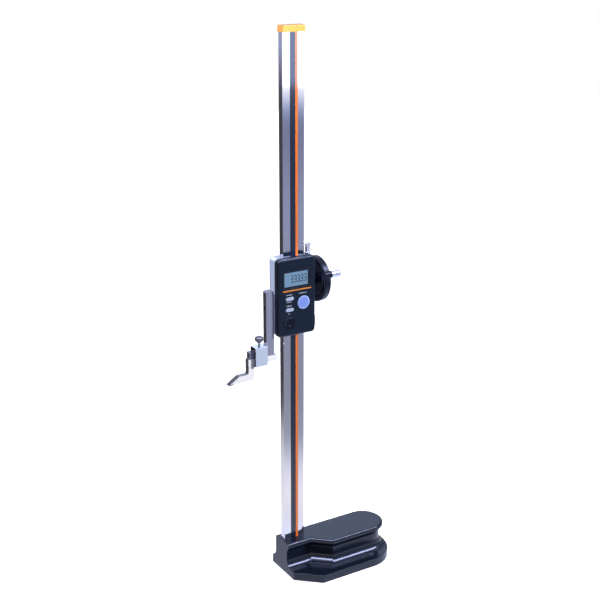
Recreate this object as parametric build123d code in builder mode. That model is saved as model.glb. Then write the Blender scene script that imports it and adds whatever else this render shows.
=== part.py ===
from build123d import *
import math
import os

os.makedirs("parts", exist_ok=True)

# Height gauge, sizes in millimetres. X runs along the base, Y from front to back, Z up.
# The origin lies on the base's underside below the middle of the column.

free_gap = 0.3
slide_gap = 0.1
run_gap = 0.05
overlap = 1.0
near = 0.01

# Depth of a screw's socket as a share of its head's height or of its length
socket_share, flush_share, set_share = 0.55, 0.7, 0.5

# Base
slab_back, slab_front, slab_turn_x = 26.0, -68.0, 106.0
end_x, slab_end_front, slab_corner_x = -20.0, -37.5, 14.3
slab_edge = 12.5
lip_back, lip_front, lip_turn_x = 16.2, -44.8, 120.5
lip_end_front, lip_step_x, lip_corner_x = -21.7, 20.7, 46.2
grip_depth, lip_side, lip_slope, base_height = 4.8, 6.2, 7.5, 51.2
lip_round, flare_radius = 3.0, 13.0
relief_depth, relief_rim = 3.0, 12.0
relief_start = 34.0
flare_inside, arc_half = 3.0, 0.7071

# Column and what it carries
column_width, column_depth = 34.2, 10.7
column_foot, column_top, column_edge = 15.0, 811.0, 0.5
scale_x, scale_width, scale_recess = 0.59, 12.5, 0.8
board_thick, film_thick = 0.6, 0.15
rack_width, rack_recess = 8.0, 3.0
gear_module, pinion_teeth = 1.0, 18
pressure_angle, root_share, rack_pitch_height = 20.0, 1.25, 3.45
rack_bottom, rack_end = 85.0, 51.0
tooth_play = 0.12
cap_skirt, cap_roof, cap_wall_x, cap_wall_y = 7.0, 2.0, 1.1, 1.65
cap_corner, cap_round = 2.0, 1.2
cap_bottom, cap_top, rack_top = column_top - cap_skirt, column_top + cap_roof, column_top - rack_end
foot_screw_x, foot_screw_head_d, foot_screw_head_h, foot_screw_d = 10.0, 10.0, 6.0, 6.0
foot_screw_length, foot_hole_depth = 22.0, 16.0
foot_screw_sink, foot_screw_socket = 1.0, 5.0

# Slider
frame_left, frame_right, frame_front, frame_back = -31.5, 25.2, -15.5, 5.65
frame_bottom, frame_top = 384.0, 497.4
frame_round_top, frame_round_right, frame_round_bottom = 5.5, 3.0, 3.0
gib_thick, gib_free, gib_front_gap, gib_end_gap = 2.0, 0.3, 0.35, 1.0
gib_screw_d, gib_screw_sink, gib_screw_socket = 3.0, 0.4, 1.5
channel_front = 5.75
window_left, window_right, window_bottom, window_top = -13.0, 14.0, 396.0, 484.0
window_round = 3.0
plate_thick = 3.0
tip_groove_width, tip_groove_depth = 9.0, 1.5
drive_z = 451.6
arm_pad_x, arm_pad_front, arm_pad_back = -40.3, -15.5, -9.9
arm_pad_bottom, arm_pad_top = 392.0, 450.0

# Display unit
cover_left, cover_right, cover_front = -37.0, 24.4, -24.5
cover_bottom, cover_top = 386.2, 499.8
cover_wall, cover_cheek, cover_roof = 2.0, 5.8, 4.0
cover_corner, cover_round, inner_corner = 5.5, 3.0, 3.0
lens_left, lens_right, lens_bottom, lens_top = -28.4, 15.3, 457.0, 482.0
lens_thick, lens_ledge, lens_corner = 1.2, 1.3, 1.5
panel_thick, strip_edge, strip_height, strip_end = 2.8, 1.5, 2.0, 3.0
oval_width, oval_height, oval_x = 13.0, 5.0, -18.0
upper_key_z, lower_key_z = 441.7, 425.6
round_key_d, round_key_x, round_key_z = 19.5, 4.5, 433.6
key_proud, key_flange, key_travel, flange_reach = 0.6, 1.0, 0.5, 0.8
key_edge, round_key_edge, round_key_slope = 0.35, 0.4, 0.8
mat_left, mat_right, mat_bottom, mat_top = -27.0, 16.0, 419.5, 448.5
mat_thick, dome_r = 1.0, 2.2
battery_x, battery_z, battery_cap_d = -18.5, 405.5, 19.3
battery_d, battery_thick, battery_edge = 11.6, 5.4, 0.4
cap_neck_r, cap_seat, cap_sink, cap_proud, cap_edge = 7.8, 1.0, 0.9, 0.2, 0.3
lug_count, lug_reach, lug_width, lug_thick, lug_room = 3, 1.2, 3.6, 0.8, 0.4
lug_angle, lug_turn = 15, 60
coin_slot_length, coin_slot_width, coin_slot_depth = 9.0, 1.8, 0.7
contact_tip_r, contact_foot_r, holder_wall, holder_height = 2.0, 4.5, 1.5, 4.0
board_front_y, board_thick_y = -16.7, 1.2
boss_x, boss_bottom_z, boss_top_z = 13.0, 390.4, 490.5
boss_r, boss_hole = 2.6, 5.5
port_bottom, port_top, port_front, port_back = 395.0, 409.0, -21.0, -17.4
socket_left, socket_floor, socket_front_gap, socket_wall, socket_end = 11.0, 3.0, 0.5, 0.8, 1.5
port_lip_y, port_lip_z, port_corner, port_proud, port_edge = 0.6, 1.0, 1.4, 1.6, 0.5

# Drive
shaft_d, bush_d = 6.0, 9.0
pinion_half, pinion_room = 4.0, 4.6
housing_left, housing_right, housing_radius = -14.0, 37.0, 12.0
housing_foot_right = 22.0
housing_foot_half, housing_foot_thick = 18.5, 3.3
wheel_left, wheel_right, wheel_radius, wheel_taper = 44.5, 55.0, 34.0, 0.8
wheel_web, wheel_bevel = 4.5, 1.2
crank_y, crank_z = -14.5, 463.5
crank_boss_r, crank_boss_end, knob_end = 5.6, 55.8, 71.5
crank_pin_r, crank_pin_sink, crank_pin_length = 2.0, 10.0, 22.0
knob_flange_r, knob_neck_r, knob_body_r, knob_end_r, knob_tip_r = 4.7, 4.1, 5.1, 4.5, 2.8
knob_flange, knob_neck, knob_body_gap, knob_end_gap, knob_tip_gap = 1.5, 2.1, 3.0, 1.0, 0.2
knob_bore_depth = 12.1
hub_reach, hub_radius, rib_inside, rib_outside, rib_depth, rim_thick = 5.0, 9.0, 21.0, 24.0, 3.7, 4.0
wheel_screw_head_d, wheel_screw_head_h, wheel_screw_d, wheel_screw_length = 7.4, 3.0, 3.0, 8.0
wheel_screw_sink, wheel_screw_room_r, wheel_screw_socket = 4.0, 4.0, 2.5
shaft_inset, shaft_hole = 1.0, 9.0
house_screw_head_d, house_screw_head_h, house_screw_d, house_screw_socket = 5.5, 3.0, 3.0, 2.5
house_screw_edge, house_screw_left, house_screw_right = 3.3, -9.8, 17.5

# Arm, clamp and scriber
arm_left, arm_front, arm_back = -52.6, -18.7, -9.9
arm_bottom, arm_top, tongue_left, tongue_top = 361.25, 456.4, -79.7, 371.1
arm_round, arm_inner_round = 3.0, 0.4
clamp_left, clamp_right, clamp_front, clamp_back = -72.3, -53.3, -22.9, -7.6
clamp_bottom, clamp_top = 349.2, 377.4
clamp_screw_x, clamp_screw_y = -62.7, -15.2
clamp_corner, clamp_slack, clamp_screw_d = 1.2, 0.05, 3.0
flutes, flute_out, flute_size = 24, 0.2, 0.7
thumb_low, thumb_cone, thumb_waist, thumb_rim = 5.3, 3.6, 3.0, 6.1
thumb_height, thumb_edge = 13.4, 0.6
scriber_front, scriber_back = -18.9, -9.7
scriber_bottom, scriber_under, scriber_over = 328.5, 352.15, 361.2
scriber_right, leg_left, leg_right = -35.3, -81.8, -72.5
toe_top, toe_shoulder, toe_point = 339.4, -96.7, -113.2
tip_length, tip_thick, toe_relief = 8.0, 1.5, 1.2
toe_inset, toe_rise, scriber_round = 2.0, 4.0, 2.5

step_angle = math.atan2(lip_end_front - lip_front, lip_corner_x - lip_step_x)


def slab_outline():
    with BuildSketch() as outline:
        with BuildLine():
            Polyline(
                (slab_turn_x, slab_back),
                (end_x, slab_back),
                (end_x, slab_end_front),
                (slab_corner_x, slab_front),
                (slab_turn_x, slab_front),
            )
            RadiusArc(
                (slab_turn_x, slab_front), (slab_turn_x, slab_back), (slab_front - slab_back) / 2
            )
        make_face()
    return outline.sketch


def grip_outline(height, inset):
    front = lip_front + inset
    shift = inset * math.tan(step_angle / 2)
    radius = (lip_back - front) / 2
    turn = lip_turn_x + (lip_back - lip_front) / 2 - inset - radius
    with BuildSketch(Plane.XY.offset(height)) as outline:
        with BuildLine():
            Polyline(
                (turn, lip_back),
                (end_x, lip_back),
                (end_x, lip_end_front + inset),
                (lip_step_x + shift, lip_end_front + inset),
                (lip_corner_x + shift, front),
                (turn, front),
            )
            RadiusArc((turn, front), (turn, lip_back), -radius)
        make_face()
    return outline.sketch


def socket_screw(seat, head_d, head_h, shank_d, length, socket):
    with BuildPart() as screw:
        with BuildSketch(seat):
            Circle(head_d / 2)
        extrude(amount=head_h)
        with BuildSketch(seat):
            Circle(shank_d / 2)
        extrude(amount=-length)
        with BuildSketch(seat.offset(head_h)):
            RegularPolygon(socket / 2, 6)
        extrude(amount=-head_h * socket_share, mode=Mode.SUBTRACT)
    return screw.part


def flush_screw(top, head_d, head_h, shank_d, length, socket):
    with BuildPart() as screw:
        with BuildSketch(top):
            Circle(head_d / 2)
        with BuildSketch(top.offset(-head_h)):
            Circle(shank_d / 2)
        loft()
        with BuildSketch(top):
            Circle(shank_d / 2)
        extrude(amount=-length)
        with BuildSketch(top):
            RegularPolygon(socket / 2, 6)
        extrude(amount=-head_h * flush_share, mode=Mode.SUBTRACT)
    return screw.part


def set_screw(tip, shank_d, length, socket):
    with BuildPart() as screw:
        with BuildSketch(tip):
            Circle(shank_d / 2)
        extrude(amount=length)
        with BuildSketch(tip.offset(length)):
            RegularPolygon(socket / 2, 6)
        extrude(amount=-length * set_share, mode=Mode.SUBTRACT)
    return screw.part


def block(left, right, front, back, bottom, top):
    with BuildPart() as solid:
        with BuildSketch(Plane.XY.offset(bottom)):
            with Locations(((left + right) / 2, (front + back) / 2)):
                Rectangle(right - left, back - front)
        extrude(amount=top - bottom)
    return solid.part


# Base casting
lip_under = base_height - lip_side
lip_root = lip_under - lip_slope
with BuildPart() as lip:
    extrude(grip_outline(lip_under, 0), amount=lip_side)
    end_gone = lip.edges().filter_by(lambda e: abs(e.center().X - end_x) > near)
    fillet(end_gone.group_by(Axis.Z)[-1], lip_round)
    loft([grip_outline(lip_root, grip_depth), grip_outline(lip_under, 0)], ruled=True)

flare_top = slab_edge + flare_radius
neck_front = lip_front + grip_depth
neck_end_front = lip_end_front + grip_depth
neck_shift = grip_depth * math.tan(step_angle / 2)
neck_radius = (lip_back - neck_front) / 2
neck_turn = lip_turn_x + (lip_back - lip_front) / 2 - grip_depth - neck_radius
slab_radius = (slab_back - slab_front) / 2
slab_middle_y = (slab_back + slab_front) / 2

with BuildPart() as base:
    with BuildLine() as neck_path:
        Polyline(
            (end_x, neck_end_front),
            (lip_step_x + neck_shift, neck_end_front),
            (lip_corner_x + neck_shift, neck_front),
            (neck_turn, neck_front),
        )
        RadiusArc((neck_turn, neck_front), (neck_turn, lip_back), -neck_radius)
        Line((neck_turn, lip_back), (end_x, lip_back))
    with BuildSketch(Plane.YZ.offset(end_x)):
        with BuildLine():
            Polyline(
                (neck_end_front, flare_top),
                (neck_end_front + flare_inside, flare_top),
                (neck_end_front + flare_inside, slab_edge / 2),
                (neck_end_front - flare_radius, slab_edge / 2),
                (neck_end_front - flare_radius, slab_edge),
            )
            ThreePointArc(
                (neck_end_front - flare_radius, slab_edge),
                (
                    neck_end_front - (1 - arc_half) * flare_radius,
                    flare_top - arc_half * flare_radius,
                ),
                (neck_end_front, flare_top),
            )
        make_face()
    sweep(path=neck_path.line, transition=Transition.RIGHT)
    extrude(grip_outline(0, grip_depth), amount=lip_under + lip_side / 2)
    extrude(slab_outline(), amount=slab_edge)
    extrude(slab_outline(), amount=base_height, mode=Mode.INTERSECT)
    add(lip.part)
    with BuildSketch(Plane.XY.offset(column_foot)):
        Rectangle(column_width, column_depth)
    extrude(amount=base_height, mode=Mode.SUBTRACT)
    with BuildSketch():
        with BuildLine():
            relief_front = slab_front + relief_rim
            relief_back = slab_back - relief_rim
            Polyline(
                (slab_turn_x, relief_front),
                (relief_start, relief_front),
                (relief_start, relief_back),
                (slab_turn_x, relief_back),
            )
            ThreePointArc(
                (slab_turn_x, relief_back),
                (slab_turn_x + slab_radius - relief_rim, slab_middle_y),
                (slab_turn_x, relief_front),
            )
        make_face()
    extrude(amount=relief_depth, mode=Mode.SUBTRACT)
    with BuildSketch():
        with Locations((-foot_screw_x, 0), (foot_screw_x, 0)):
            Circle(foot_screw_head_d / 2 + free_gap)
    extrude(amount=foot_screw_head_h + foot_screw_sink, mode=Mode.SUBTRACT)
    with BuildSketch():
        with Locations((-foot_screw_x, 0), (foot_screw_x, 0)):
            Circle(foot_screw_d / 2 + free_gap)
    extrude(amount=column_foot, mode=Mode.SUBTRACT)
base.part.label = "base"
export_step(base.part, "parts/base.step")

with BuildPart() as column_screws:
    for x in (-foot_screw_x, foot_screw_x):
        seat_z = foot_screw_head_h + foot_screw_sink
        seat = Plane((x, 0, seat_z), x_dir=(1, 0, 0), z_dir=(0, 0, -1))
        add(
            socket_screw(
                seat, foot_screw_head_d, foot_screw_head_h, foot_screw_d,
                foot_screw_length, foot_screw_socket,
            )
        )
column_screws.part.label = "column_screws"
export_step(column_screws.part, "parts/column_screws.step")

# Column
front_y = -column_depth / 2
back_y = column_depth / 2
with BuildPart() as column:
    with BuildSketch(Plane.XY.offset(column_foot)):
        Rectangle(column_width, column_depth)
    extrude(amount=column_top - column_foot)
    chamfer(column.edges().filter_by(Axis.Z), column_edge)
    with BuildSketch(Plane.XY.offset(column_foot)):
        with Locations((scale_x, front_y + scale_recess / 2)):
            Rectangle(scale_width, scale_recess)
        with Locations((0, back_y - rack_recess / 2)):
            Rectangle(rack_width, rack_recess)
    extrude(amount=column_top - column_foot, mode=Mode.SUBTRACT)
    with BuildSketch(Plane.XY.offset(column_foot)):
        with Locations((-foot_screw_x, 0), (foot_screw_x, 0)):
            Circle(foot_screw_d / 2)
    extrude(amount=foot_hole_depth, mode=Mode.SUBTRACT)
column.part.label = "column"
export_step(column.part, "parts/column.step")

board_y = front_y + scale_recess
scale_bottom = base_height + free_gap
scale_end = cap_bottom - free_gap
scale_board = block(
    scale_x - scale_width / 2, scale_x + scale_width / 2,
    board_y - board_thick, board_y, scale_bottom, scale_end,
)
scale_board.label = "scale_board"
export_step(scale_board, "parts/scale_board.step")
scale_film = block(
    scale_x - scale_width / 2, scale_x + scale_width / 2,
    board_y - board_thick - film_thick, board_y - board_thick, scale_bottom, scale_end,
)
scale_film.label = "scale_film"
export_step(scale_film, "parts/scale_film.step")

# Rack: the pitch line stands clear of the column's back face
pitch = math.pi * gear_module
rack_base_y = back_y - rack_recess
pitch_y = rack_base_y + rack_pitch_height
axis_y = pitch_y + gear_module * pinion_teeth / 2
slope = math.tan(math.radians(pressure_angle))
half_tooth = pitch / 4 - tooth_play / 2
tooth_low = math.ceil((rack_bottom - drive_z) / pitch + 1)
tooth_high = math.floor((rack_top - drive_z) / pitch - 1)
rack_points = [(rack_base_y, rack_bottom)]
rack_root = pitch_y - root_share * gear_module
rack_tip = pitch_y + gear_module
rack_points.append((rack_root, rack_bottom))
for index in range(tooth_low, tooth_high + 1):
    middle = drive_z + (index + 0.5) * pitch
    foot = half_tooth + root_share * gear_module * slope
    crest = half_tooth - gear_module * slope
    rack_points.append((rack_root, middle - foot))
    rack_points.append((rack_tip, middle - crest))
    rack_points.append((rack_tip, middle + crest))
    rack_points.append((rack_root, middle + foot))
rack_points.append((rack_root, rack_top))
rack_points.append((rack_base_y, rack_top))
with BuildPart() as rack:
    with BuildSketch(Plane.YZ.offset(-rack_width / 2)):
        with BuildLine():
            Polyline(*rack_points, close=True)
        make_face()
    extrude(amount=rack_width)
rack.part.label = "rack"
export_step(rack.part, "parts/rack.step")

with BuildPart() as column_cap:
    with BuildSketch(Plane.XY.offset(cap_bottom)):
        RectangleRounded(
            column_width + 2 * cap_wall_x, column_depth + 2 * cap_wall_y, cap_corner
        )
    extrude(amount=cap_top - cap_bottom)
    fillet(column_cap.faces().sort_by(Axis.Z)[-1].edges(), cap_round)
    with BuildSketch(Plane.XY.offset(cap_bottom)):
        Rectangle(column_width, column_depth)
    extrude(amount=column_top - cap_bottom, mode=Mode.SUBTRACT)
column_cap.part.label = "column_cap"
export_step(column_cap.part, "parts/column_cap.step")

# Slider frame: the column runs in the channel open to the back
gib_left = column_width / 2 + slide_gap
channel_left = -column_width / 2 - slide_gap
channel_right = gib_left + gib_thick + gib_free
frame_height = frame_top - frame_bottom
frame_middle_x = (frame_left + frame_right) / 2
frame_middle_z = (frame_bottom + frame_top) / 2


def frame_corner(solid, level, side):
    row = solid.edges().filter_by(Axis.Y).group_by(Axis.Z)[level]
    return row.sort_by(Axis.X)[side]


plate_front, plate_back = frame_back, frame_back + plate_thick
plate_screw_left, plate_screw_right = -24.5, (channel_right + frame_right) / 2
plate_screw_d, plate_screw_head_d, plate_screw_head_h, plate_screw_socket = 2.5, 5.0, 1.25, 1.5
plate_screw_length, plate_hole_depth = 10.0, 9.0
cover_screw_recess, cover_screw_grip, cover_screw_room = 2.2, 4.95, 0.2
cover_screw_d, cover_screw_head_d, cover_screw_head_h, cover_screw_socket = 2.0, 3.8, 1.6, 1.5
plate_screw_z = (391.0, 428.0, 489.0)
gib_screw_z = (399.0, 440.0, 474.0)
lever_x, lever_y, lever_d, lever_depth = 21.2, -8.0, 6.1, 15.4
lever_bottom = frame_top - lever_depth
lever_half, lever_thick, lever_collar = 2.9, 4.6, 3.5
lever_shoulder, lever_rise, lever_room = 11.6, 17.5, 0.5
lever_collar_r, lever_edge, lever_root = 4.0, 0.5, 0.1
lever_flat, lever_flat_length, lever_flat_side = 2.2, 10.0, (0.766, 0.643, 0)
arm_screw_y, arm_screw_z, arm_screw_d, arm_screw_sink = -13.7, 432.0, 2.5, 9.5
arm_screw_head_d, arm_screw_head_h, arm_screw_length, arm_screw_socket = 4.5, 2.5, 14.0, 2.0
arm_screw_room, arm_hole_depth = 0.35, 13.0
board_left, board_right, board_bottom, board_top = -30.8, 18.0, 395.5, 485.5
reader_inset, reader_margin, pin_inset, pin_half = 2.0, 6.0, 2.0, 1.25

with BuildPart() as slider_frame:
    with BuildSketch(Plane.XZ.offset(-frame_back)):
        with Locations((frame_middle_x, frame_middle_z)):
            Rectangle(frame_right - frame_left, frame_height)
    extrude(amount=frame_back - frame_front)
    fillet(frame_corner(slider_frame, -1, 0), frame_round_top)
    fillet(frame_corner(slider_frame, -1, -1), frame_round_right)
    fillet(slider_frame.edges().filter_by(Axis.Y).group_by(Axis.Z)[0], frame_round_bottom)
    add(
        block(
            arm_pad_x, frame_left + overlap, arm_pad_front, arm_pad_back,
            arm_pad_bottom, arm_pad_top,
        )
    )
    with BuildSketch(Plane.XY.offset(frame_bottom)):
        with Locations(((channel_left + channel_right) / 2, (frame_back - channel_front) / 2)):
            Rectangle(channel_right - channel_left, frame_back + channel_front)
    extrude(amount=frame_height, mode=Mode.SUBTRACT)
    with BuildSketch(Plane.XZ.offset(-frame_front)):
        with Locations(
            ((window_left + window_right) / 2, (window_bottom + window_top) / 2)
        ):
            RectangleRounded(window_right - window_left, window_top - window_bottom, window_round)
    extrude(amount=frame_front + channel_front - overlap, mode=Mode.SUBTRACT)
    with BuildSketch(Plane.XZ.offset(channel_front)):
        with Locations(
            (-boss_x, boss_bottom_z), (boss_x, boss_bottom_z),
            (-boss_x, boss_top_z), (boss_x, boss_top_z),
        ):
            Circle(cover_screw_head_d / 2 + cover_screw_room)
    extrude(amount=cover_screw_recess, mode=Mode.SUBTRACT)
    with BuildSketch(Plane.XZ.offset(channel_front)):
        with Locations(
            (-boss_x, boss_bottom_z), (boss_x, boss_bottom_z),
            (-boss_x, boss_top_z), (boss_x, boss_top_z),
        ):
            Circle(cover_screw_d / 2 + free_gap)
    extrude(amount=-frame_front - channel_front, mode=Mode.SUBTRACT)
    with BuildSketch(Plane.XZ.offset(-frame_back)):
        for z in plate_screw_z:
            with Locations((plate_screw_left, z), (plate_screw_right, z)):
                Circle(plate_screw_d / 2)
    extrude(amount=plate_hole_depth, mode=Mode.SUBTRACT)
    with BuildSketch(Plane.YZ.offset(frame_right)):
        for z in gib_screw_z:
            with Locations((0, z)):
                Circle(gib_screw_d / 2)
    extrude(amount=-(frame_right - channel_right), mode=Mode.SUBTRACT)
    with BuildSketch(Plane.XY.offset(frame_top)):
        with Locations((lever_x, lever_y)):
            Circle(lever_d / 2 + run_gap)
    extrude(amount=-(frame_top - lever_bottom + lever_room), mode=Mode.SUBTRACT)
    with BuildSketch(Plane.YZ.offset(arm_pad_x)):
        with Locations((arm_screw_y, arm_screw_z)):
            Circle(arm_screw_d / 2)
    extrude(amount=arm_hole_depth, mode=Mode.SUBTRACT)
slider_frame.part.label = "slider_frame"
export_step(slider_frame.part, "parts/slider_frame.step")

# Back plate with a groove for the rack's tips and a window for the pinion
tip_room = gear_module * (pinion_teeth / 2 + 1) + free_gap
house_screw_z = housing_foot_half - house_screw_edge
with BuildPart() as slider_back_plate:
    with BuildSketch(Plane.XZ.offset(-plate_back)):
        with Locations((frame_middle_x, frame_middle_z)):
            Rectangle(frame_right - frame_left, frame_height)
    extrude(amount=plate_thick)
    fillet(frame_corner(slider_back_plate, -1, 0), frame_round_top)
    fillet(frame_corner(slider_back_plate, -1, -1), frame_round_right)
    low = slider_back_plate.edges().filter_by(Axis.Y).group_by(Axis.Z)[0]
    fillet(low, frame_round_bottom)
    with BuildSketch(Plane.XY.offset(frame_bottom)):
        with Locations((0, plate_front + tip_groove_depth / 2)):
            Rectangle(tip_groove_width, tip_groove_depth)
    extrude(amount=frame_height, mode=Mode.SUBTRACT)
    with BuildSketch(Plane.XZ.offset(-plate_back)):
        with Locations((0, drive_z)):
            Rectangle(2 * pinion_room, 2 * tip_room)
    extrude(amount=plate_thick, mode=Mode.SUBTRACT)
    with BuildSketch(Plane.XZ.offset(-plate_back)):
        for z in plate_screw_z:
            with Locations((plate_screw_left, z), (plate_screw_right, z)):
                Circle(plate_screw_head_d / 2)
    extrude(amount=plate_screw_head_h, taper=45, mode=Mode.SUBTRACT)
    with BuildSketch(Plane.XZ.offset(-plate_back)):
        for z in plate_screw_z:
            with Locations((plate_screw_left, z), (plate_screw_right, z)):
                Circle(plate_screw_d / 2)
        for z in (drive_z - house_screw_z, drive_z + house_screw_z):
            with Locations((house_screw_left, z), (house_screw_right, z)):
                Circle(house_screw_d / 2)
    extrude(amount=plate_thick, mode=Mode.SUBTRACT)
slider_back_plate.part.label = "slider_back_plate"
export_step(slider_back_plate.part, "parts/slider_back_plate.step")

with BuildPart() as back_plate_screws:
    for z in plate_screw_z:
        for x in (plate_screw_left, plate_screw_right):
            top = Plane((x, plate_back, z), x_dir=(1, 0, 0), z_dir=(0, 1, 0))
            add(
                flush_screw(
                    top, plate_screw_head_d, plate_screw_head_h, plate_screw_d,
                    plate_screw_length, plate_screw_socket,
                )
            )
back_plate_screws.part.label = "back_plate_screws"
export_step(back_plate_screws.part, "parts/back_plate_screws.step")

gib = block(
    gib_left, gib_left + gib_thick, -channel_front + gib_front_gap, frame_back - free_gap,
    frame_bottom + gib_end_gap, frame_top - gib_end_gap,
)
gib.label = "gib"
export_step(gib, "parts/gib.step")

with BuildPart() as gib_screws:
    for z in gib_screw_z:
        tip = Plane((gib_left + gib_thick, 0, z), x_dir=(0, 1, 0), z_dir=(1, 0, 0))
        length = frame_right - gib_left - gib_thick - gib_screw_sink
        add(set_screw(tip, gib_screw_d, length, gib_screw_socket))
gib_screws.part.label = "gib_screws"
export_step(gib_screws.part, "parts/gib_screws.step")

# Lock lever: turning it brings its full round side against the gib's front edge
with BuildPart() as lock_lever:
    with BuildSketch(Plane.XY.offset(lever_bottom)):
        with Locations((lever_x, lever_y)):
            Circle(lever_d / 2)
    extrude(amount=frame_top - lever_bottom)
    with BuildSketch(Plane((lever_x, lever_y, lever_bottom), x_dir=lever_flat_side)):
        with Locations((0, lever_d)):
            Rectangle(2 * lever_d, 2 * lever_d - 2 * lever_flat)
    extrude(amount=lever_flat_length, mode=Mode.SUBTRACT)
    with BuildSketch(Plane.XY.offset(frame_top)):
        with Locations((lever_x, lever_y)):
            Circle(lever_collar_r)
    extrude(amount=lever_collar)
    chamfer(lock_lever.faces().sort_by(Axis.Z)[-1].edges(), lever_edge)
    with BuildSketch(Plane.XZ.offset(-lever_y - lever_thick / 2)):
        with BuildLine():
            Polyline(
                (lever_x - lever_half, frame_top + lever_shoulder),
                (lever_x - lever_half, frame_top + lever_collar - lever_root),
                (lever_x + lever_half, frame_top + lever_collar - lever_root),
                (lever_x + lever_half, frame_top + lever_shoulder),
            )
            ThreePointArc(
                (lever_x + lever_half, frame_top + lever_shoulder),
                (lever_x, frame_top + lever_rise),
                (lever_x - lever_half, frame_top + lever_shoulder),
            )
        make_face()
    extrude(amount=lever_thick)
lock_lever.part.label = "lock_lever"
export_step(lock_lever.part, "parts/lock_lever.step")

# Reader board looks at the scale through the frame's window
reader_y, reader_thick = -6.2, 1.6
reader_bottom, reader_top = window_bottom + reader_margin, window_top - reader_margin
reader_left, reader_right = window_left + reader_inset, window_right - reader_inset
reader_board = block(
    reader_left, reader_right, reader_y - reader_thick, reader_y, reader_bottom, reader_top
)
reader_board.label = "reader_board"
export_step(reader_board, "parts/reader_board.step")

with BuildPart() as board_pins:
    for z in (reader_bottom + pin_inset, reader_top - pin_inset - 2 * pin_half):
        add(
            block(
                reader_left + pin_inset, reader_right - pin_inset,
                frame_front, reader_y - reader_thick, z, z + 2 * pin_half,
            )
        )
board_pins.part.label = "board_pins"
export_step(board_pins.part, "parts/board_pins.step")

with BuildPart() as main_board:
    add(block(board_left, board_right, board_front_y, frame_front, board_bottom, board_top))
main_board.part.label = "main_board"
export_step(main_board.part, "parts/main_board.step")

# Display cover: a shell with bosses for the four screws from behind
inner_front = cover_front + cover_wall
boss_places = (
    (-boss_x, boss_bottom_z), (boss_x, boss_bottom_z),
    (-boss_x, boss_top_z), (boss_x, boss_top_z),
)
cover_middle_x = (cover_left + cover_right) / 2
cover_middle_z = (cover_bottom + cover_top) / 2
lens_middle_x, lens_middle_z = (lens_left + lens_right) / 2, (lens_bottom + lens_top) / 2
lens_width, lens_height = lens_right - lens_left, lens_top - lens_bottom
inner_left, inner_right = cover_left + cover_cheek, cover_right - cover_wall
inner_bottom, inner_top = cover_bottom + cover_wall, cover_top - cover_roof
with BuildPart() as front_cover:
    with BuildSketch(Plane.XZ.offset(-frame_front)):
        with Locations((cover_middle_x, cover_middle_z)):
            RectangleRounded(cover_right - cover_left, cover_top - cover_bottom, cover_corner)
    extrude(amount=frame_front - cover_front)
    fillet(front_cover.faces().sort_by(Axis.Y)[0].edges(), cover_round)
    with BuildSketch(Plane.XZ.offset(-frame_front)):
        with Locations(((inner_left + inner_right) / 2, (inner_bottom + inner_top) / 2)):
            RectangleRounded(inner_right - inner_left, inner_top - inner_bottom, inner_corner)
    extrude(amount=frame_front - inner_front, mode=Mode.SUBTRACT)
    with BuildSketch(Plane.XZ.offset(-frame_front)):
        with Locations(*boss_places):
            Circle(boss_r)
    extrude(amount=frame_front - cover_front - overlap)
    with BuildSketch(Plane.XZ.offset(-frame_front)):
        with Locations(*boss_places):
            Circle(cover_screw_d / 2)
    extrude(amount=boss_hole, mode=Mode.SUBTRACT)
    with BuildSketch(Plane.XZ.offset(-cover_front)):
        with Locations((lens_middle_x, lens_middle_z)):
            RectangleRounded(lens_width, lens_height, lens_corner)
    extrude(amount=-lens_thick, mode=Mode.SUBTRACT)
    with BuildSketch(Plane.XZ.offset(-cover_front)):
        with Locations((lens_middle_x, lens_middle_z)):
            Rectangle(lens_width - 2 * lens_ledge, lens_height - 2 * lens_ledge)
        with Locations((oval_x, upper_key_z), (oval_x, lower_key_z)):
            SlotOverall(oval_width + 2 * slide_gap, oval_height + 2 * slide_gap)
        with Locations((round_key_x, round_key_z)):
            Circle(round_key_d / 2 + slide_gap)
        with Locations((battery_x, battery_z)):
            Circle(cap_neck_r + slide_gap)
            with PolarLocations(cap_neck_r, lug_count, start_angle=lug_angle + lug_turn):
                Rectangle(2 * lug_reach + lug_room, lug_width + 2 * lug_room)
    extrude(amount=-cover_wall, mode=Mode.SUBTRACT)
    with BuildSketch(Plane.XZ.offset(-cover_front)):
        with Locations((battery_x, battery_z)):
            Circle(battery_cap_d / 2 + slide_gap)
    extrude(amount=-cap_seat, mode=Mode.SUBTRACT)
    with BuildSketch(Plane.YZ.offset(cover_right)):
        with Locations(((port_front + port_back) / 2, (port_bottom + port_top) / 2)):
            Rectangle(port_back - port_front, port_top - port_bottom)
    extrude(amount=-cover_wall, mode=Mode.SUBTRACT)
front_cover.part.label = "front_cover"
export_step(front_cover.part, "parts/front_cover.step")

with BuildPart() as cover_screws:
    for x, z in boss_places:
        seat_y = -channel_front - cover_screw_recess
        seat = Plane((x, seat_y, z), x_dir=(1, 0, 0), z_dir=(0, 1, 0))
        add(
            socket_screw(
                seat, cover_screw_head_d, cover_screw_head_h, cover_screw_d,
                seat_y - frame_front + cover_screw_grip, cover_screw_socket,
            )
        )
cover_screws.part.label = "cover_screws"
export_step(cover_screws.part, "parts/cover_screws.step")

with BuildPart() as display_window:
    with BuildSketch(Plane.XZ.offset(-cover_front)):
        with Locations((lens_middle_x, lens_middle_z)):
            RectangleRounded(lens_width, lens_height, lens_corner)
    extrude(amount=-lens_thick)
display_window.part.label = "display_window"
export_step(display_window.part, "parts/display_window.step")

panel_back = inner_front + panel_thick
lcd_panel = block(
    lens_left, lens_right, inner_front, panel_back, lens_bottom, lens_top
)
lcd_panel.label = "lcd_panel"
export_step(lcd_panel, "parts/lcd_panel.step")

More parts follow.
